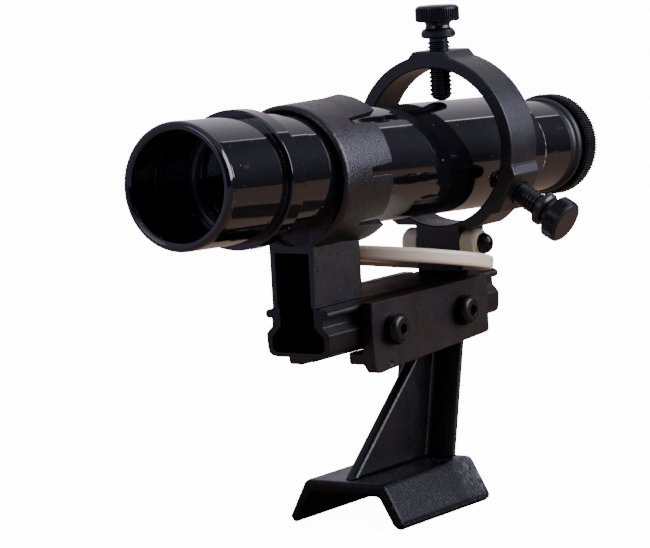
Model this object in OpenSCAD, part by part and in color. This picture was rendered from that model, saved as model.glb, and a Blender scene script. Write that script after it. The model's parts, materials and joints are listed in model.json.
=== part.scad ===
// Finder scope on its bracket: a small aiming telescope held in a collar and a ring with three
// adjusting screws, on a dovetail rail clamped in the shoe of a saddle foot.
// +Z up, the tube looks towards -Y. Origin: centre of the foot's underside. Millimetres.

/* [Foot] */
// length of the foot along the rail
foot_len = 41; // [35:0.5:50]
// width across the top plate
foot_top_w = 23; // [18:0.5:30]
// width across the wing tips
foot_tip_w = 33.2; // [28:0.2:40]
// height of the foot
foot_h = 11; // [8:0.5:16]
// spacing of the two fixing holes
foot_bolt_pitch = 24; // [18:1:30]
// radius of the fixing holes
foot_bolt_r = 1.7; // [1.4:0.05:2.5]

/* [Shoe] */
// front end of the shoe
shoe_front = -22.6; // [-30:0.1:-15]
// rear end of the shoe
shoe_rear = 30; // [20:0.1:40]
// outer half width of the shoe
shoe_half = 12.7; // [11.5:0.1:15]
// top of the shoe walls
shoe_top = 55.8; // [54:0.1:56]
// height of the clamp screws
clamp_z = 48.4; // [47:0.1:49]

/* [Bracket] */
// underside of the rail
rail_z = 44.2; // [43.8:0.1:44.6]
// half width of the rail
rail_half = 9.2; // [8:0.05:9.25]
// front end of the rail
rail_front = -36; // [-45:0.1:-30]
// rear end of the rail
rail_rear = 41; // [40:0.1:60]
// half width of both stalks
stalk_half = 6.4; // [5:0.1:7]
// outer radius of the collar
collar_r = 17.5; // [17:0.05:19]
// bore radius of the collar
collar_bore = 16; // [15.9:0.05:16.3]
// bore radius of the rear ring
ring_bore = 20; // [19:0.5:24]
// outer radius of the rear ring
ring_r = 23.3; // [22:0.1:28]
// front face of the rear ring
ring_front = 27.5; // [25:0.1:30]
// length of the rear ring
ring_len = 12.2; // [9:0.1:15]

/* [Tube] */
// nose-up angle of the tube in its rings
tube_pitch = 2.8; // [0:0.1:4]
// sideways angle of the tube in its rings
tube_yaw = 2; // [0:0.1:3]
// outer radius of the main tube
tube_r = 14.25; // [13.5:0.05:14.5]
// outer radius of the objective cell
cell_r = 14.9; // [14.5:0.05:15.2]
// outer radius of the eyepiece tube
eye_r = 12; // [11.5:0.1:13]

/* [Plate] */
// radius of the hinged plate
plate_r = 24; // [22:0.1:24.5]
// thickness of the hinged plate
plate_t = 3.5; // [3:0.1:4]
// tilt of the hinged plate
plate_tilt = 11; // [8:0.1:11]

/* [Hidden] */
$fn = 96;
axis_z = 88;
pivot_y = -26.5;
pivot_z = 87.9;
rail_top = 56.2;
foot_plate_z = 7.7;
pin_y = 31;
pin_r = 1.25;
pin_z = 63.4;
ear_r = 3.7;
screw_y_top = 32.8;
screw_y_side = 34.4;
ring_base = 68;
pad_out = 24.2;
screw_hole_r = 3.0;
thread_r = 2.93;
thread_root = 2.45;
thread_pitch = 1.08;
tip_top = 11.35;
tip_right = 15.1;
tip_left = 17.68;
clamp_ys = [-14.1, 17.7];
collar_z = 87.3;
collar_front = -36.8;
collar_rear = -17.2;

// ---------- shared shapes ----------

// a bar along Y with the given XZ outline
module along_y(y0, y1) {
  translate([0, y1, 0]) rotate([90, 0, 0]) linear_extrude(y1 - y0) children();
}

// a turned piece on the tube axis, outline given as [radius, distance along the tube]
module on_tube() {
  translate([0, pivot_y, pivot_z]) rotate([-tube_pitch, 0, tube_yaw]) rotate([-90, 0, 0])
    children();
}

// a round bar along X
module along_x(x0, x1, r) {
  translate([x0, 0, 0]) rotate([0, 90, 0]) cylinder(r = r, h = x1 - x0);
}

// a toothed outline
module toothed(r, depth, teeth) {
  step = 360 / teeth;
  polygon([for (i = [0 : teeth - 1], k = [0 : 3])
    let (a = (i + [0, 0.3, 0.5, 0.8][k]) * step, q = r - [depth, 0, 0, depth][k])
    [q * cos(a), q * sin(a)]]);
}

// ---------- stand ----------

module foot() {
  color([0.06, 0.06, 0.065]) difference() {
    along_y(-foot_len / 2, foot_len / 2) foot_outline();
    for (s = [-1, 1]) translate([0, s * foot_bolt_pitch / 2, foot_plate_z - 1])
      cylinder(r = foot_bolt_r, h = foot_h - foot_plate_z - 0.2, $fn = 48);
  }
}

module foot_outline() {
  top = foot_top_w / 2;
  tip = foot_tip_w / 2;
  polygon([
    [-top, foot_h], [-tip, 1.7], [-tip + 0.1, 0.8], [-tip + 0.7, 0.2], [-tip + 1.4, 0],
    [-tip + 2.1, 0.1], [-tip + 2.9, 0.9], [-top + 1.7, foot_plate_z], [top - 1.7, foot_plate_z],
    [tip - 2.9, 0.9], [tip - 2.1, 0.1], [tip - 1.4, 0], [tip - 0.7, 0.2], [tip - 0.1, 0.8],
    [tip, 1.7], [top, foot_h]]);
}

// web with a sloping front edge, and a wide flange down its back
module pillar() {
  color([0.06, 0.06, 0.065]) {
    rotate([90, 0, 90]) translate([0, 0, -1.65]) linear_extrude(3.3) pillar_web();
    rotate([90, 0, 90]) translate([0, 0, -9.3]) linear_extrude(18.6) pillar_flange();
    for (s = [0, 1]) mirror([s, 0, 0]) pillar_fillet();
  }
}

module pillar_web() {
  polygon([[-18.5, foot_h], [-16.9, foot_h + 0.9], [11.8, 36], [13.4, 38], [13, 39.2], [11, 40.6],
    [23.4, 40.6], [16.5, foot_h]]);
}

module pillar_flange() {
  polygon([[14.6, foot_h], [21.6, 40.6], [23.7, 40.6], [16.7, foot_h]]);
}

// concave corner between the web and the flange, following the flange's lean
module pillar_fillet() {
  lean = 7 / (40.6 - foot_h);
  r = 1.5;
  multmatrix([[1, 0, 0, 1.6], [0, 1, lean, 14.7 - lean * foot_h], [0, 0, 1, 0], [0, 0, 0, 1]])
    translate([0, 0, foot_h]) linear_extrude(40.6 - foot_h)
      polygon(concat([[0, 0.1], [0, -r]],
        [for (a = [10 : 10 : 80]) [r * (1 - cos(a)), r * (sin(a) - 1)]], [[r, 0], [r, 0.1]]));
}

// open channel that holds the rail, with a sloping underside
module shoe() {
  color([0.055, 0.055, 0.06]) difference() {
    shoe_blank();
    for (y = clamp_ys) translate([0, y, clamp_z]) along_x(8, 14, 2.05, $fn = 48);
    translate([shoe_half - 0.6, -16, 39.75]) cube([1, 1.5, 0.6]);
    translate([-20, shoe_front - 1, 30]) cube([20, 60, 9.9]);
  }
}

module shoe_blank() {
  intersection() {
    union() {
      along_y(shoe_front, shoe_rear) shoe_outline();
      along_y(3, shoe_rear) translate([-5.4, 40.6]) square([10.8, 3]);
    }
    rotate([90, 0, 90]) translate([0, 0, -20]) linear_extrude(40) shoe_side();
  }
}

module shoe_outline() {
  for (s = [0, 1]) mirror([s, 0]) polygon([
    [shoe_half, 38], [shoe_half, shoe_top], [9.32, shoe_top], [9.32, 53.5], [7.5, 53.5],
    [7.5, 51.75], [9.32, 49.93], [9.32, 44], [9.1, 43.6], [5.2, 43.6], [5.2, 40.6], [9.1, 40.6],
    [9.5, 40.2], [9.5, 38]]);
}

module shoe_side() {
  polygon([[shoe_front, shoe_top + 1], [shoe_front, 41.2], [shoe_front + 0.4, 39.6],
    [shoe_front + 1.4, 38.6], [shoe_front + 3, 38.3], [-12, 38.9], [shoe_rear - 0.8, 41.1],
    [shoe_rear, 41.8], [shoe_rear, shoe_top + 1]]);
}

// socket-head screw through the shoe wall, tip against the rail
module clamp_screw(y) {
  translate([0, y, clamp_z]) color([0.05, 0.05, 0.055]) difference() {
    rotate([0, 90, 0]) rotate_extrude($fn = 64) polygon([
      [0, 9.3], [1.7, 9.3], [2, 9.6], [2, shoe_half + 0.03], [3.85, shoe_half + 0.03],
      [3.85, shoe_half + 1.9], [3.6, shoe_half + 2.6], [3.1, shoe_half + 3.1],
      [2.6, shoe_half + 3.3], [0, shoe_half + 3.3]]);
    translate([shoe_half + 1.3, 0, 0]) rotate([0, 90, 0]) cylinder(r = 1.5, h = 4, $fn = 6);
  }
}

module clamp_screw_front() { clamp_screw(clamp_ys[0]); }
module clamp_screw_rear() { clamp_screw(clamp_ys[1]); }

// ---------- bracket ----------

// dovetail rail, hollow at its front end
module rail() {
  color([0.06, 0.06, 0.065]) difference() {
    along_y(rail_front, rail_rear) both_sides([
      [6.6, rail_z], [7.8, rail_z + 0.2], [8.7, rail_z + 0.9], [9.0, rail_z + 2],
      [rail_half, 49.8], [7.4, 51.6], [7.4, 53.56], [8.5, 53.6], [9.0, 53.9], [rail_half, 54.5],
      [9.0, 55.2], [8.4, 55.6], [7.3, 55.8], [7, rail_top]]);
    along_y(rail_front - 1, rail_front + 14.5) both_sides([
      [6.5, 45.3], [7.5, 46.3], [7.5, 48.9], [4.8, 51.6], [4.8, rail_top + 1]]);
  }
}

// an outline given by its right half, bottom to top
module both_sides(half) {
  polygon(concat(half, [for (i = [len(half) - 1 : -1 : 0]) [-half[i][0], half[i][1]]]));
}

// collar round the tube, with spring tongues at its rear edge, on its own stalk
module front_collar() {
  color([0.06, 0.06, 0.065]) difference() {
    union() {
      translate([0, 0, collar_z]) rotate([-90, 0, 0]) collar_blank();
      along_y(collar_front, -16.9) translate([-stalk_half, rail_top])
        square([2 * stalk_half, collar_z - rail_top - 10]);
      for (a = [69.5, 204.5, -65.5]) collar_tongue(a);
    }
    along_y(collar_front - 1, collar_rear + 4) translate([0, collar_z]) circle(collar_bore);
    along_y(collar_front - 1, collar_front + 15) translate([-4.8, rail_top - 1])
      square([9.6, 14.1]);
    for (a = [2, 47, 92, 137, 182, 227, -43])
      translate([0, 0, collar_z]) rotate([0, -a, 0]) collar_notch();
  }
}

// collar body with a well rounded front edge
module collar_blank() {
  rotate_extrude($fn = 128) polygon([
    [0, collar_front], [collar_r - 1.3, collar_front], [collar_r - 0.7, collar_front + 0.15],
    [collar_r - 0.25, collar_front + 0.55], [collar_r, collar_front + 1.3],
    [collar_r, collar_rear], [0, collar_rear]]);
}

// raised finger that runs on past the rear edge, thickest at its end
module collar_tongue(a) {
  translate([0, 0, collar_z]) rotate([0, -a, 0]) intersection() {
    translate([0, collar_rear + 2.6, 0]) rotate([90, 0, 0])
      cylinder(r1 = collar_r + 0.7, r2 = collar_r - 0.3, h = 14, $fn = 96);
    translate([0, -40, 0]) rotate([-90, 0, 0]) linear_extrude(40)
      polygon([[12, 0], [12, -4.3], [22, -7.8], [22, 7.8], [12, 4.3]]);
  }
}

// long tapering slot in the collar's rear edge, between two fingers
module collar_notch() {
  translate([14, 0, 0]) rotate([0, 90, 0]) linear_extrude(6)
    polygon([[-0.9, collar_rear - 8.8], [0.9, collar_rear - 8.8], [1.5, collar_rear + 3],
      [-1.5, collar_rear + 3]]);
}

// ring with three flat pads that carry the adjusting screws, cut flat below, on its own stalk
module rear_ring() {
  color([0.06, 0.06, 0.065]) difference() {
    union() {
      along_y(ring_front, ring_front + ring_len) ring_outline();
      along_y(ring_front, ring_front + ring_len) translate([-stalk_half, rail_top])
        square([2 * stalk_half, axis_z - rail_top - 16]);
    }
    along_y(ring_front - 1, ring_front + ring_len + 1) translate([0, axis_z])
      circle(ring_bore, $fn = 128);
    for (a = [90, 210, 330]) in_ring(a, 15) cylinder(r = screw_hole_r, h = 15, $fn = 64);
    translate([0, pin_y, pin_z]) along_x(-10, 10, pin_r + 0.06, $fn = 48);
  }
}

module ring_outline() {
  difference() {
    translate([0, axis_z]) {
      circle(ring_r, $fn = 128);
      ring_pad(90, -4.8, 4.8);
      ring_pad(330, -5, 5.8);
      ring_pad(210, -5.8, 5);
    }
    translate([-20, ring_base - 10]) square([40, 10]);
  }
}

module ring_pad(a, t0, t1) {
  rotate(a) polygon([[20.6, t0 - 2.6], [22.2, t0 - 1.7], [pad_out, t0], [pad_out, t1],
    [22.2, t1 + 1.7], [20.6, t1 + 2.6]]);
}

// pan-head screw through both ears and the rear stalk
module pivot_screw() {
  translate([0, pin_y, pin_z]) color([0.03, 0.03, 0.03]) difference() {
    rotate([0, 90, 0]) rotate_extrude($fn = 64) polygon([
      [0, -11.1], [1.0, -11.1], [pin_r, -10.8], [pin_r, 11.22], [2.65, 11.22], [2.65, 11.6],
      [2.58, 12.1], [2.35, 12.7], [1.95, 13.2], [1.4, 13.55], [0.75, 13.75], [0, 13.8]]);
    for (a = [0, 90]) translate([13.6, 0, 0]) rotate([a, 0, 0]) cube([1.6, 2.4, 0.5], center = true);
  }
}

module pivot_nut() {
  translate([-11.05, pin_y, pin_z]) color([0.5, 0.5, 0.52]) difference() {
    rotate([0, 90, 0]) cylinder(r = 2.85, h = 2.1, $fn = 6);
    along_x(-1, 4, pin_r + 0.03, $fn = 48);
  }
}

// round nylon plate with two ears that straddle the rear stalk
module hinged_plate() {
  color([0.87, 0.84, 0.74]) difference() {
    union() {
      plate_frame() plate_disc();
      for (m = [0, 1]) mirror([m, 0, 0]) plate_ear();
    }
    translate([-6.6, 25.4, 50]) cube([13.2, 20, 30]);
    translate([0, pin_y, pin_z]) along_x(-20, 20, pin_r + 0.06, $fn = 48);
    translate([0, pin_y, pin_z]) along_x(-12, -8.8, 2.95, $fn = 48);
  }
}

module plate_frame() {
  translate([0, 8.9, 64.2]) rotate([-plate_tilt, 0, 0]) children();
}

module plate_disc() {
  rotate_extrude($fn = 128) polygon([
    [0, 0], [plate_r - 0.9, 0], [plate_r - 0.25, -0.25], [plate_r, -0.9],
    [plate_r, 0.7 - plate_t], [plate_r - 0.2, 0.2 - plate_t], [plate_r - 0.7, -plate_t],
    [plate_r - 3, -plate_t], [plate_r - 3, 0.9 - plate_t], [0, 0.9 - plate_t]]);
}

module plate_ear() {
  translate([6.6, pin_y, pin_z]) rotate([0, 90, 0]) rotate_extrude($fn = 64) polygon([
    [0, 0], [ear_r, 0], [ear_r, 3.5], [ear_r - 0.25, 4.1], [ear_r - 0.7, 4.6], [0, 4.6]]);
  translate([6.6, pin_y - ear_r, 58.6]) cube([4.1, 5.2, pin_z - 58.6]);
}

// ---------- adjusting screws ----------

// nylon thumbscrew, tip at distance 0 and head outwards along +Z
module thumbscrew() {
  color([0.035, 0.035, 0.04]) {
    rotate_extrude($fn = 64) polygon(concat(
      [[0, 0], [1.0, 0.12], [1.9, 0.5], [thread_root, 1.1]],
      [for (i = [0 : 12], k = [0 : 3]) [[thread_root, thread_r, thread_r, thread_root][k],
        1.2 + (i + [0.15, 0.45, 0.6, 0.9][k]) * thread_pitch]],
      [[thread_root, 16], [3.9, 16], [4.37, 16.4], [4.37, 17.5], [3.9, 18.1], [3.2, 18.5],
        [3.05, 19.2], [3.3, 19.9], [4, 20.2], [0, 20.2]]));
    intersection() {
      translate([0, 0, 20.15]) linear_extrude(4.05) toothed(5.6, 0.32, 56);
      rotate_extrude($fn = 64) polygon([
        [0, 20], [5.1, 20], [5.65, 20.5], [5.65, 23.1], [5.45, 23.7], [4.95, 24.1], [4.6, 24.2],
        [0, 24.2]]);
    }
  }
}

module in_ring(a, tip) {
  translate([0, a == 90 ? screw_y_top : screw_y_side, axis_z]) rotate([0, 90 - a, 0])
    translate([0, 0, tip]) children();
}

module thumbscrew_top() { in_ring(90, tip_top) thumbscrew(); }
module thumbscrew_right() { in_ring(330, tip_right) thumbscrew(); }
module thumbscrew_left() { in_ring(210, tip_left) thumbscrew(); }

// ---------- telescope ----------

module o_ring() {
  on_tube() color([0.03, 0.03, 0.03]) intersection() {
    rotate_extrude() translate([14.27, -1.1]) square([3, 2.2]);
    sphere(r = 15.33, $fn = 128);
  }
}

module objective_cell() {
  on_tube() color([0.02, 0.02, 0.02]) rotate_extrude($fn = 128) polygon([
    [12.6, -55.3], [12.75, -55.9], [13.2, -56.35], [13.8, -56.4], [14.4, -56.1],
    [14.65, -55.6], [14.8, -54.8], [cell_r, -53.6], [cell_r, -33.2], [16.2, -33.2],
    [16.4, -33.0], [16.4, -28.0], [16.2, -27.7], [cell_r, -27.7], [cell_r, -25.6],
    [14.7, -25.3], [14.7, -17.8], [14.45, -17.5], [14.45, -12], [13.2, -12], [13.2, -24],
    [12.0, -24], [12.0, -26], [12.9, -26], [12.9, -46], [12.6, -47]]);
}

module lens_retainer() {
  on_tube() color([0.03, 0.03, 0.03]) rotate_extrude() polygon([
    [11.2, -31.9], [11.9, -32.6], [12.85, -32.6], [12.85, -30.4], [11.2, -30.4]]);
}

module front_lens() {
  on_tube() color([0.75, 0.85, 0.9, 0.4]) rotate_extrude() lens_outline(12.85, -30.35, 1.0, 1.5, 0.6);
}

module rear_lens() {
  on_tube() color([0.75, 0.85, 0.9, 0.4]) rotate_extrude() polygon(concat(
    [for (i = [0 : 8]) [12.85 * i / 8, -27.8 + 0.6 * (1 - i * i / 64)]],
    [[12.85, -26.05], [0, -26.05]]));
}

// half section of a lens: edge radius, front of the edge, front sag, edge thickness, rear sag
module lens_outline(r, z, sag_f, t, sag_r) {
  polygon(concat(
    [for (i = [0 : 8]) [r * i / 8, z - sag_f * (1 - i * i / 64) + sag_f]],
    [for (i = [8 : -1 : 0]) [r * i / 8, z + sag_f + t + sag_r * (1 - i * i / 64) - 0.0]]));
}

module main_tube() {
  on_tube() color([0.02, 0.02, 0.02]) rotate_extrude($fn = 128) polygon([
    [12.3, -20], [13.15, -20], [13.15, -11.95], [tube_r, -11.95], [tube_r, 90.1],
    [tube_r - 0.3, 90.5], [12.3, 90.5]]);
}

module baffle() {
  on_tube() color([0.03, 0.03, 0.03]) rotate_extrude() polygon([
    [8.5, 30], [8.5, 29.4], [12.28, 27], [12.28, 30]]);
}

module eyepiece_tube() {
  on_tube() color([0.02, 0.02, 0.02]) rotate_extrude($fn = 128) polygon([
    [9.1, 76], [12.25, 76], [12.25, 90.45], [eye_r, 90.55], [eye_r, 108.9], [11.7, 109.3],
    [11.5, 110.2], [11.5, 110.9], [11.7, 111.5], [12.25, 111.9], [12.6, 112.4], [12.65, 113],
    [12.5, 113.6], [12.1, 113.9], [11.6, 114.1], [11.6, 115.1], [10.6, 115.1], [10.6, 120.6],
    [9.1, 120.6]]);
}

module eye_retainer() {
  on_tube() color([0.03, 0.03, 0.03]) rotate_extrude() polygon([
    [9.5, 120.65], [11.6, 120.65], [11.8, 120.9], [11.8, 121.5], [11.4, 121.9], [9.9, 121.9],
    [9.5, 121.5]]);
}

module reticle() {
  on_tube() color([0.03, 0.03, 0.03]) {
    rotate_extrude() polygon([[7.4, 77], [9.07, 77], [9.07, 79], [7.4, 79]]);
    for (a = [0, 90]) rotate(a) translate([-7.5, -0.1, 77.9]) cube([15, 0.2, 0.2]);
  }
}

module eyepiece_cell() {
  on_tube() color([0.03, 0.03, 0.03]) rotate_extrude() polygon([
    [7.0, 96], [9.04, 96], [9.04, 119], [6.0, 119], [6.0, 118], [7.9, 118], [7.9, 114],
    [7.0, 113.4], [7.0, 103.4], [7.9, 103], [7.9, 98.2], [7.0, 98]]);
}

module field_lens() {
  on_tube() color([0.75, 0.85, 0.9, 0.4]) rotate_extrude() polygon(concat(
    [for (i = [0 : 8]) [7.85 * i / 8, 100.4 - 1.2 * (1 - i * i / 64)]], [[7.85, 102.9], [0, 102.9]]));
}

module eye_lens() {
  on_tube() color([0.75, 0.85, 0.9, 0.4]) rotate_extrude() polygon(concat(
    [[0, 114.1], [7.85, 114.1]], [for (i = [8 : -1 : 0]) [7.85 * i / 8, 116 + 1.2 * (1 - i * i / 64)]]));
}

module focus_ring() {
  on_tube() color([0.03, 0.03, 0.03]) difference() {
    union() {
      translate([0, 0, 115.6]) linear_extrude(4.7) toothed(13.45, 0.42, 116);
      translate([0, 0, 115.15]) cylinder(r = 12.9, h = 0.5);
      translate([0, 0, 120.2]) cylinder(r = 12.9, h = 0.4);
    }
    translate([0, 0, 110]) cylinder(r = 10.65, h = 20);
  }
}

foot();
pillar();
shoe();
clamp_screw_front();
clamp_screw_rear();
rail();
front_collar();
rear_ring();
pivot_screw();
pivot_nut();
hinged_plate();
thumbscrew_top();
thumbscrew_right();
thumbscrew_left();
o_ring();
objective_cell();
lens_retainer();
front_lens();
rear_lens();
main_tube();
baffle();
eyepiece_tube();
eye_retainer();
reticle();
eyepiece_cell();
field_lens();
eye_lens();
focus_ring();
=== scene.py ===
import bpy
import json
import math
import random
from mathutils import Matrix, Vector


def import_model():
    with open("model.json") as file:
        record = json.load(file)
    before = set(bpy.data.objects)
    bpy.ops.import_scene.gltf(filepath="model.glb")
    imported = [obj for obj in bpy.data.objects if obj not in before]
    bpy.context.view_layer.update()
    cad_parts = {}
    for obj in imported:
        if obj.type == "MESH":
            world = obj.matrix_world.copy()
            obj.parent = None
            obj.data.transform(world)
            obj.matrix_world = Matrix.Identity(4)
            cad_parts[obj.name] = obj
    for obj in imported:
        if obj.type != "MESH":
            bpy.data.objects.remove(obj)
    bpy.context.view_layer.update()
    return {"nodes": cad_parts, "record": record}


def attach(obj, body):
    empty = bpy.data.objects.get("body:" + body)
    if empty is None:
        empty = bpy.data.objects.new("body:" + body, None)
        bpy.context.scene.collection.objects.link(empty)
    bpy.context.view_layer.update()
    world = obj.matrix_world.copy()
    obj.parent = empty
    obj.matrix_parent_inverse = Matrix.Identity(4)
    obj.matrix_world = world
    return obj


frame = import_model()
nodes = frame["nodes"]
slot_of = {s["node"]: s["material_slot"] for s in frame["record"]["subparts"]}
rng = random.Random(7)

# the tube's axis: a point on it and its direction towards the eyepiece
TUBE_AT = Vector((0, -0.0265, 0.0879))
TUBE_DIR = Vector((-0.034858, 0.998198, -0.04885)).normalized()

# colours that several finishes share
WORN_EDGE = (0.12, 0.115, 0.11)
DUST = (0.33, 0.32, 0.33)
SCUFF = (0.42, 0.41, 0.42)
GLOSS_BASE = (0.0025, 0.0025, 0.0032)


# ---------- node graph helper ----------


class Graph:
    """Builds shader nodes; every value is a number, a colour or another node's output."""

    def __init__(self, tree):
        self.tree = tree
        self.tree.nodes.clear()

    def put(self, socket, value):
        if isinstance(value, bpy.types.NodeSocket):
            self.tree.links.new(value, socket)
        elif isinstance(value, (tuple, list)) and len(value) == 3 and socket.type == "RGBA":
            socket.default_value = (*value, 1)
        else:
            socket.default_value = value

    def new(self, kind, settings=None, **inputs):
        node = self.tree.nodes.new("ShaderNode" + kind)
        for key, value in (settings or {}).items():
            setattr(node, key, value)
        for key, value in inputs.items():
            index = int(key[1:]) if key[0] == "i" and key[1:].isdigit() else key.replace("_", " ")
            self.put(node.inputs[index], value)
        return node

    def position(self):
        return self.new("TexCoord").outputs["Object"]

    def normal(self):
        return self.new("NewGeometry").outputs["Normal"]

    def noise(self, at, scale, detail=3.0, rough=0.55, distortion=0.0):
        node = self.new("TexNoise", Vector=at, Scale=scale, Detail=detail, Roughness=rough,
                        Distortion=distortion)
        return node.outputs["Fac"]

    def cells(self, at, scale):
        return self.new("TexVoronoi", Vector=at, Scale=scale)

    def scaled(self, at, factors):
        return self.new("VectorMath", {"operation": "MULTIPLY"}, i0=at, i1=factors).outputs[0]

    def split(self, vector):
        return self.new("SeparateXYZ", i0=vector).outputs

    def math(self, operation, a, b=0.0):
        return self.new("Math", {"operation": operation}, i0=a, i1=b).outputs[0]

    def span(self, value, low, high, a=0.0, b=1.0):
        """value from low to high becomes a to b, clamped"""
        node = self.new("MapRange", Value=value, From_Min=low, From_Max=high, To_Min=a, To_Max=b)
        return node.outputs["Result"]

    def mix(self, factor, a, b):
        node = self.new("Mix", {"data_type": "RGBA"})
        self.put(node.inputs["Factor"], factor)
        self.put([s for s in node.inputs if s.name == "A" and s.type == "RGBA"][0], a)
        self.put([s for s in node.inputs if s.name == "B" and s.type == "RGBA"][0], b)
        return [s for s in node.outputs if s.type == "RGBA"][0]

    def bump(self, height, distance, strength=1.0, normal=None):
        node = self.new("Bump", Height=height, Distance=distance, Strength=strength)
        if normal is not None:
            self.put(node.inputs["Normal"], normal)
        return node.outputs["Normal"]

    def edges(self, radius, low=0.02, high=0.2):
        """1 on outer and inner edges, 0 on open faces"""
        rounded = self.new("Bevel", {"samples": 6}, Radius=radius).outputs[0]
        dot = self.new("VectorMath", {"operation": "DOT_PRODUCT"}, i0=rounded, i1=self.normal())
        return self.span(self.math("SUBTRACT", 1.0, dot.outputs["Value"]), low, high)

    def surface(self, **inputs):
        shader = self.new("BsdfPrincipled", **inputs)
        self.new("OutputMaterial", Surface=shader.outputs[0])
        return shader


def material(name):
    made = bpy.data.materials.new(name)
    made.use_nodes = True
    return made, Graph(made.node_tree)


# ---------- materials ----------


def tone(colour, factor):
    return tuple(c * factor for c in colour)


def black_part(name, colour, rough, grain_mm, grain_depth, dust=0.0, wear=0.35, scuffs=0.0,
               specular=0.5):
    """Satin black plastic or painted casting: fine grain, mottling, dust and lighter edges.

    grain_mm is the grain's size, grain_depth its height in metres.
    """
    made, g = material(name)
    at = g.position()
    broad = g.noise(at, 160, 3)
    blotch = g.noise(at, 620, 4, 0.6)
    grain = g.noise(at, 1000 / grain_mm, 2, 0.6)
    paint = g.mix(broad, tone(colour, 0.72), tone(colour, 1.3))
    roughness = g.math("ADD", g.span(broad, 0.3, 0.7, rough - 0.05, rough + 0.06),
                       g.span(blotch, 0.3, 0.7, -0.03, 0.03))
    edge = g.math("MULTIPLY", g.edges(0.0004), g.span(g.noise(at, 900, 3), 0.35, 0.7))
    paint = g.mix(g.math("MULTIPLY", edge, wear), paint, WORN_EDGE)
    height = grain
    if dust > 0:
        up = g.span(g.split(g.normal())[2], -0.2, 0.5)
        specks = g.span(g.noise(at, 2600, 3, 0.7), 0.6, 0.72)
        film = g.span(g.noise(at, 110, 3), 0.42, 0.7)
        lying = g.math("MULTIPLY", g.math("MULTIPLY", specks, film), up)
        paint = g.mix(g.math("MULTIPLY", lying, dust), paint, DUST)
        roughness = g.math("ADD", roughness, g.math("MULTIPLY", lying, 0.25))
    if scuffs > 0:
        streak = g.noise(g.scaled(at, (600, 5200, 900)), 1.0, 3, 0.6, 0.6)
        x, y, z = g.split(at)
        # the foot's rear right wing, where handling has rubbed it
        corner = g.math("MULTIPLY", g.span(y, 0.010, 0.0195), g.span(x, 0.009, 0.0125))
        corner = g.math("MULTIPLY", corner, g.span(z, 0.001, 0.005))
        rub = g.math("MULTIPLY", g.span(streak, 0.5, 0.62), corner)
        paint = g.mix(g.math("MULTIPLY", rub, scuffs), paint, SCUFF)
        height = g.math("ADD", height, g.math("MULTIPLY", rub, -1.5))
    g.surface(Base_Color=paint, Roughness=roughness, Specular_IOR_Level=specular,
              Normal=g.bump(height, grain_depth, 0.6))
    return made


def gloss_part(name, colour, rough=0.045, satin_from=None):
    """Polished black plastic: a mirror with faint smears, dust motes and hairlines.

    From y = satin_from (metres) towards the eyepiece the polish gives way to satin.
    """
    made, g = material(name)
    at = g.position()
    smear = g.noise(g.scaled(at, (1, 0.35, 1)), 130, 4, 0.6, 0.4)
    roughness = g.span(smear, 0.42, 0.75, rough, rough + 0.07)
    if satin_from is not None:
        y = g.split(at)[1]
        roughness = g.math("ADD", roughness, g.span(y, satin_from, satin_from + 0.0006, 0, 0.36))
    mote = g.cells(at, 620)
    far = g.math("GREATER_THAN", 0.13, mote.outputs["Distance"])
    rare = g.math("GREATER_THAN", g.split(mote.outputs["Color"])[0], 0.93)
    dusty = g.math("MULTIPLY", g.math("MULTIPLY", far, rare), 0.55)
    hair = g.span(g.noise(g.scaled(at, (900, 160, 900)), 1.0, 2, 0.5, 0.3), 0.70, 0.73)
    paint = g.mix(g.span(smear, 0.4, 0.8), colour, tone(colour, 1.8))
    paint = g.mix(g.math("MAXIMUM", dusty, g.math("MULTIPLY", hair, 0.05)), paint,
                  (0.3, 0.3, 0.32))
    roughness = g.math("ADD", roughness, g.math("MULTIPLY", dusty, 0.4))
    wave = g.noise(at, 90, 2)
    g.surface(Base_Color=paint, Roughness=roughness, Specular_IOR_Level=0.5,
              Coat_Weight=0.3 if satin_from is None else 0.0, Coat_Roughness=0.02,
              Normal=g.bump(wave, 0.00004, 0.25))
    return made


def nylon_plate(name):
    """Ivory nylon: slightly waxy, with faint flow marks, a little yellowing and painted shade that
    darkens its edges and creases towards brown.
    """
    made, g = material(name)
    at = g.position()
    broad = g.noise(at, 70, 3)
    flow = g.noise(g.scaled(at, (1, 0.2, 1)), 420, 4, 0.6, 0.8)
    paint = g.mix(broad, (0.62, 0.55, 0.37), (0.70, 0.63, 0.45))
    paint = g.mix(g.span(flow, 0.55, 0.8, 0, 0.25), paint, (0.54, 0.46, 0.31))
    # painted shade: edges and creases darkened towards brown
    edge_shade = g.math("MULTIPLY", g.edges(0.0005), g.span(g.noise(at, 500, 4), 0.45, 0.75))
    paint = g.mix(g.math("MULTIPLY", edge_shade, 0.25), paint, (0.42, 0.34, 0.26))
    g.surface(Base_Color=paint, Roughness=g.span(broad, 0.3, 0.7, 0.33, 0.45),
              Subsurface_Weight=0.25, Subsurface_Radius=(0.9, 0.7, 0.45),
              Subsurface_Scale=0.002, Specular_IOR_Level=0.45,
              Normal=g.bump(g.noise(at, 1600, 3), 0.00003, 0.5))
    return made


def metal_part(name, colour, rough, metallic, wear):
    made, g = material(name)
    at = g.position()
    broad = g.noise(at, 500, 3)
    fine = g.noise(at, 5200, 2)
    worn = g.math("MULTIPLY", g.edges(0.0003), g.span(broad, 0.4, 0.65))
    paint = g.mix(broad, tone(colour, 0.75), tone(colour, 1.25))
    paint = g.mix(g.math("MULTIPLY", worn, wear), paint, (0.2, 0.2, 0.21))
    g.surface(Base_Color=paint, Metallic=metallic, Specular_IOR_Level=0.5 if metallic else 0.28,
              Roughness=g.span(broad, 0.3, 0.7, rough - 0.05, rough + 0.08),
              Normal=g.bump(fine, 0.00003, 0.5))
    return made


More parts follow.
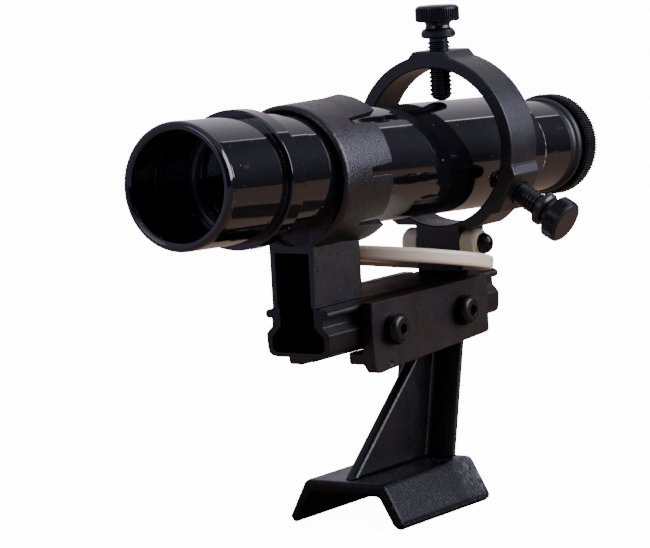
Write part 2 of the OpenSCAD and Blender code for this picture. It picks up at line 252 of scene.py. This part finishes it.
def lens_glass(name):
    made, g = material(name)
    haze = g.noise(g.position(), 240, 4)
    g.surface(Base_Color=(0.75, 0.86, 0.9), Transmission_Weight=1.0, IOR=1.5,
              Roughness=g.span(haze, 0.5, 0.9, 0.01, 0.04), Specular_IOR_Level=0.12)
    return made


made_for = {
    "black_casting": black_part("black_casting", (0.0032, 0.003, 0.0031), 0.38, 0.38, 0.00010,
                                dust=0.35, wear=0.3),
    "black_moulding": black_part("black_moulding", (0.0032, 0.003, 0.0034), 0.38, 0.4, 0.00009,
                                 dust=0.05, wear=0.2),
    "black_steel": metal_part("black_steel", (0.004, 0.004, 0.0045), 0.28, 0.0, 0.06),
    "zinc_steel": metal_part("zinc_steel", (0.46, 0.47, 0.49), 0.32, 1.0, 0.5),
    "ivory_nylon": nylon_plate("ivory_nylon"),
    "black_nylon": black_part("black_nylon", (0.0045, 0.0045, 0.006), 0.30, 0.5, 0.00004,
                              dust=0.05, wear=0.15),
    "rubber": black_part("rubber", (0.012, 0.012, 0.012), 0.6, 0.3, 0.00004, wear=0.1),
    "gloss_black": gloss_part("gloss_black", GLOSS_BASE),
    "inner_black": black_part("inner_black", (0.004, 0.0035, 0.0035), 0.7, 0.5, 0.00001,
                              wear=0.0, specular=0.2),
    "satin_black": black_part("satin_black", (0.004, 0.0038, 0.005), 0.34, 0.3, 0.00004,
                              dust=0.05, wear=0.3, specular=0.28),
    "glass": lens_glass("glass"),
}
own_finish = {
    "foot": black_part("foot_casting", (0.0032, 0.0031, 0.0037), 0.31, 0.55, 0.00024, dust=0.9,
                       wear=0.35, scuffs=1.0, specular=0.14),
    "pillar": black_part("pillar_casting", (0.0028, 0.0027, 0.003), 0.34, 0.45, 0.00014,
                         dust=0.3, wear=0.3, specular=0.35),
    # lens retainer: its bluish grey, far lighter than the other inner parts, is painted light for
    # the lit ledge inside the mouth
    "lens_retainer": black_part("retainer_painted_lit", (0.05, 0.05, 0.065), 0.33, 0.4, 0.00003,
                                wear=0.0, specular=1.0),
    "front_collar": black_part("collar_moulding", (0.0034, 0.0033, 0.0038), 0.31, 0.42, 0.00020,
                               dust=0.08, wear=0.3),
    # the shoe's warm tint is a painted reflection of the warm table top
    "shoe": black_part("shoe_moulding_warm_reflection", (0.0042, 0.0031, 0.0028), 0.36, 0.5, 0.00012,
                       dust=0.05, wear=0.2, specular=0.42),
    "rail": black_part("rail_moulding", (0.0026, 0.0022, 0.0023), 0.36, 0.45, 0.00010,
                       dust=0.05, wear=0.25, specular=0.36),
    "rear_ring": black_part("ring_moulding", (0.0034, 0.0033, 0.0040), 0.33, 0.42, 0.00017,
                            dust=0.06, wear=0.3),
    "eyepiece_tube": gloss_part("draw_tube_black", GLOSS_BASE, satin_from=0.0816),
}

for name, obj in nodes.items():
    finish = own_finish.get(name, made_for[slot_of[name]])
    obj.data.materials.clear()
    obj.data.materials.append(finish)
    for polygon in obj.data.polygons:
        polygon.material_index = 0


# ---------- softened edges ----------


def soften(name, width_mm, angle):
    """Rounds a CAD piece's edges sharper than angle, as moulding and casting leave them."""
    obj = nodes[name]
    mesh = obj.data
    for extra in ("custom_normal", "sharp_edge"):
        if extra in mesh.attributes:
            mesh.attributes.remove(mesh.attributes[extra])
    mesh.polygons.foreach_set("use_smooth", [True] * len(mesh.polygons))
    weld = obj.modifiers.new("joined", "WELD")
    weld.merge_threshold = 5e-6
    flat = obj.modifiers.new("planar", "DECIMATE")
    flat.decimate_type = "DISSOLVE"
    flat.angle_limit = math.radians(0.4)
    edge = obj.modifiers.new("edges", "BEVEL")
    edge.width = width_mm / 1000
    edge.segments = 3
    edge.limit_method = "ANGLE"
    edge.angle_limit = math.radians(angle)
    edge.use_clamp_overlap = False
    even = obj.modifiers.new("normals", "WEIGHTED_NORMAL")
    even.keep_sharp = True


for angle, widths_mm in (
        (35, {"foot": 1.1, "pillar": 0.9, "shoe": 0.45, "rail": 0.25, "front_collar": 0.25,
              "rear_ring": 0.4}),
        (12, {"objective_cell": 0.12, "eyepiece_tube": 0.12, "lens_retainer": 0.12}),
        (25, {"clamp_screw_front": 0.1, "clamp_screw_rear": 0.1})):
    for name, width_mm in widths_mm.items():
        soften(name, width_mm, angle)


# ---------- small details that CAD leaves out ----------


def ring_piece(name, at_mm, outline, finish, wobble=0.0, steps=360):
    """A turned piece round the tube; outline points are (radius, distance along), in mm."""
    across = TUBE_DIR.cross(Vector((0, 0, 1))).normalized()
    other = across.cross(TUBE_DIR)
    points, faces = [], []
    count = len(outline)
    for i in range(steps):
        angle = 2 * math.pi * i / steps
        out = across * math.cos(angle) + other * math.sin(angle)
        lift = wobble * rng.random()
        for k, (radius, along) in enumerate(outline):
            r = radius + (lift if 0 < k < count - 1 else 0)
            points.append(TUBE_AT + TUBE_DIR * ((at_mm + along) / 1000) + out * (r / 1000))
    for i in range(steps):
        j = (i + 1) % steps
        for k in range(count):
            m = (k + 1) % count
            faces.append((i * count + k, i * count + m, j * count + m, j * count + k))
    mesh = bpy.data.meshes.new(name)
    mesh.from_pydata(points, [], faces)
    mesh.update()
    for polygon in mesh.polygons:
        polygon.use_smooth = True
    mesh.materials.append(finish)
    obj = bpy.data.objects.new(name, mesh)
    bpy.context.scene.collection.objects.link(obj)
    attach(obj, "telescope")


def seam_highlight_material(name):
    """Pale, broken beads along the tube's joint line: a painted highlight on the seam."""
    made, g = material(name)
    at = g.position()
    beads = g.span(g.noise(at, 1500, 2), 0.4, 0.6)
    # the pale beads are a painted highlight along the seam
    paint = g.mix(beads, (0.02, 0.02, 0.02), (0.5, 0.46, 0.44))
    g.surface(Base_Color=paint, Roughness=0.4, Normal=g.bump(beads, 0.0001, 0.6))
    return made


# rolled lip at the tube's mouth: an oval bead, longer along the tube than it is thick
LIP_RADIUS, LIP_ALONG = 13.88, -54.98
LIP_THICK, LIP_LONG = 1.06, 1.06 * 1.42
lip_outline = [(LIP_RADIUS + LIP_THICK * math.sin(math.radians(a)),
                LIP_ALONG - LIP_LONG * math.cos(math.radians(a))) for a in range(-80, 110, 10)]
ring_piece("objective_lip", 0.0, lip_outline,
           gloss_part("lip_black", (0.0025, 0.0025, 0.0035), 0.10))
# the tube's joint: a fine raised bead, its pale colour a painted highlight
ring_piece("tube_seam", 94.6, [(11.97, -0.16), (12.04, -0.07), (12.04, 0.07), (11.97, 0.16)],
           seam_highlight_material("seam_painted_highlight"), wobble=0.05)


# ---------- studio ----------


CAMERA_TARGET = Vector((-0.0353, 0.0275, 0.0548))
CAMERA_DISTANCE = 0.8778
CAMERA_TURN, CAMERA_RISE, CAMERA_ROLL = (math.radians(a) for a in (34.87, 7.25, -3.24))
LENS_MM, SENSOR_MM = 187.2, 36.0

SWEEP_Y = 0.5
TABLE_END = (0.47, 0.45)


def camera():
    """A long lens from the front right, a little above the object."""
    back = Vector((math.sin(CAMERA_TURN) * math.cos(CAMERA_RISE),
                   -math.cos(CAMERA_TURN) * math.cos(CAMERA_RISE),
                   math.sin(CAMERA_RISE)))
    right = (-back).cross(Vector((0, 0, 1))).normalized()
    up = right.cross(-back)
    r = right * math.cos(CAMERA_ROLL) + up * math.sin(CAMERA_ROLL)
    u = -right * math.sin(CAMERA_ROLL) + up * math.cos(CAMERA_ROLL)
    data = bpy.data.cameras.new("camera")
    data.sensor_width = SENSOR_MM
    data.lens = LENS_MM
    data.clip_start, data.clip_end = 0.05, 20
    cam = bpy.data.objects.new("camera", data)
    bpy.context.scene.collection.objects.link(cam)
    m = Matrix((r, u, back)).transposed().to_4x4()
    m.translation = CAMERA_TARGET + back * CAMERA_DISTANCE
    cam.matrix_world = m
    bpy.context.scene.camera = cam


def flat_panel(name, corners):
    """One four-cornered sheet that belongs to the stage."""
    mesh = bpy.data.meshes.new(name)
    mesh.from_pydata(corners, [], [(0, 1, 2, 3)])
    obj = bpy.data.objects.new(name, mesh)
    bpy.context.scene.collection.objects.link(obj)
    return obj


def floor():
    """Pale floor; what mirrors in the object is a warm table top, out to its far edge.

    Its glow carries a painted shadow of the scope behind the object and a painted contact shadow
    beneath the foot, and turns cool in front.
    """
    obj = flat_panel("floor", [(-4, -4, 0), (4, -4, 0), (4, 4, 0), (-4, 4, 0)])
    obj.location.z = -0.0003
    made, g = material("floor")
    y = g.split(g.position())[1]
    seen = g.new("LightPath").outputs["Is Camera Ray"]
    near = g.span(y, *TABLE_END)
    top = g.mix(g.noise(g.position(), 9, 2), (0.30, 0.20, 0.165), (0.44, 0.31, 0.26))
    # painted shadow of the scope on the table, behind the object on its right
    scope_shadow_reach = g.new("VectorMath", {"operation": "DISTANCE"}, i0=g.position(),
                 i1=(0.068, 0.070, 0.0)).outputs["Value"]
    top = g.mix(g.span(scope_shadow_reach, 0.040, 0.032), top, (0.05, 0.038, 0.035))
    # painted contact shadow beneath the foot
    foot_shadow_reach = g.new("VectorMath", {"operation": "LENGTH"}, i0=g.position()).outputs["Value"]
    top = g.mix(g.span(foot_shadow_reach, 0.034, 0.024), top, (0.03, 0.022, 0.02))
    top = g.mix(g.span(y, -0.14, -0.4), top, (0.44, 0.40, 0.68))
    colour = g.mix(near, (0.06, 0.055, 0.07), top)
    warm = g.new("Emission", Color=colour, Strength=1.0)
    pale = g.new("AddShader", i0=g.new("BsdfDiffuse", Color=(0.9, 0.9, 0.9)).outputs[0],
                 i1=g.new("Emission", Color=(1, 1, 1), Strength=13.5).outputs[0])
    both = g.new("MixShader", i0=seen, i1=warm.outputs[0], i2=pale.outputs[0])
    g.new("OutputMaterial", Surface=both.outputs[0])
    obj.data.materials.append(made)


def sweep():
    """White sheet behind and to the left, seen only in reflections; a bright edge on its right."""
    left, top = -2.0, 1.6
    right_low, right_high = -0.058, 0.40
    obj = flat_panel("sweep", [(left, SWEEP_Y, 0.0), (right_low, SWEEP_Y, 0.0),
                               (right_high, SWEEP_Y, top), (left, SWEEP_Y, top)])
    obj.visible_camera = False
    made, g = material("sweep")
    x, _, z = g.split(g.position())
    slope = (right_high - right_low) / top
    edge = g.math("SUBTRACT", g.math("ADD", right_low, g.math("MULTIPLY", z, slope)), x)
    strip = g.math("MULTIPLY", g.span(edge, 0.013, 0.010),
                   g.math("MULTIPLY", g.span(z, 0.26, 0.30), g.span(z, 0.55, 0.38, 0.25, 1)))
    colour = g.mix(g.span(edge, 0.0, 0.3), (0.50, 0.47, 0.53), (0.80, 0.75, 0.86))
    colour = g.mix(strip, colour, (3.2, 3.1, 3.3))
    g.new("OutputMaterial", Surface=g.new("Emission", Color=colour, Strength=1.0).outputs[0])
    obj.data.materials.append(made)


def area(name, at, aim, size, power, colour):
    """A soft rectangular light at a place, aimed at a point."""
    data = bpy.data.lights.new(name, "AREA")
    data.shape = "RECTANGLE"
    data.size, data.size_y = size
    data.energy = power
    data.color = colour
    obj = bpy.data.objects.new(name, data)
    obj.location = at
    obj.rotation_euler = (Vector(aim) - Vector(at)).to_track_quat("-Z", "Y").to_euler()
    bpy.context.scene.collection.objects.link(obj)


def world():
    """Dim room: a cool window glow from the front left, dark on the right."""
    made = bpy.data.worlds.new("world")
    made.use_nodes = True
    g = Graph(made.node_tree)
    x, y, z = g.split(g.new("TexCoord").outputs["Generated"])
    window = g.math("MULTIPLY", g.span(x, 0.1, -0.35), g.span(y, 0.1, -0.3))
    colour = g.mix(window, (0.025, 0.023, 0.027), (0.46, 0.43, 0.70))
    behind = g.span(y, 0.1, 0.5)
    glow = g.math("MULTIPLY", g.span(z, -0.1, 0.28), g.span(z, 0.62, 0.34))
    room = g.mix(glow, (0.055, 0.05, 0.06), (0.16, 0.165, 0.23))
    colour = g.mix(behind, colour, room)
    colour = g.mix(g.span(z, 0.6, 0.8), colour, (0.5, 0.48, 0.56))
    lit = g.new("Background", Color=colour, Strength=1.0)
    plain = g.new("Background", Color=(1, 1, 1), Strength=14.0)
    seen = g.new("LightPath").outputs["Is Camera Ray"]
    both = g.new("MixShader", i0=seen, i1=lit.outputs[0], i2=plain.outputs[0])
    g.new("OutputWorld", Surface=both.outputs[0])
    bpy.context.scene.world = made


camera()
floor()
sweep()
world()
area("key", (0.94, 0.42, 0.58), (0, 0, 0.07), (1.0, 0.8), 27, (0.80, 0.79, 1.0))
area("fill", (-0.12, -0.62, 0.42), (0, -0.05, 0.09), (0.3, 0.3), 0.9, (0.72, 0.74, 1.0))
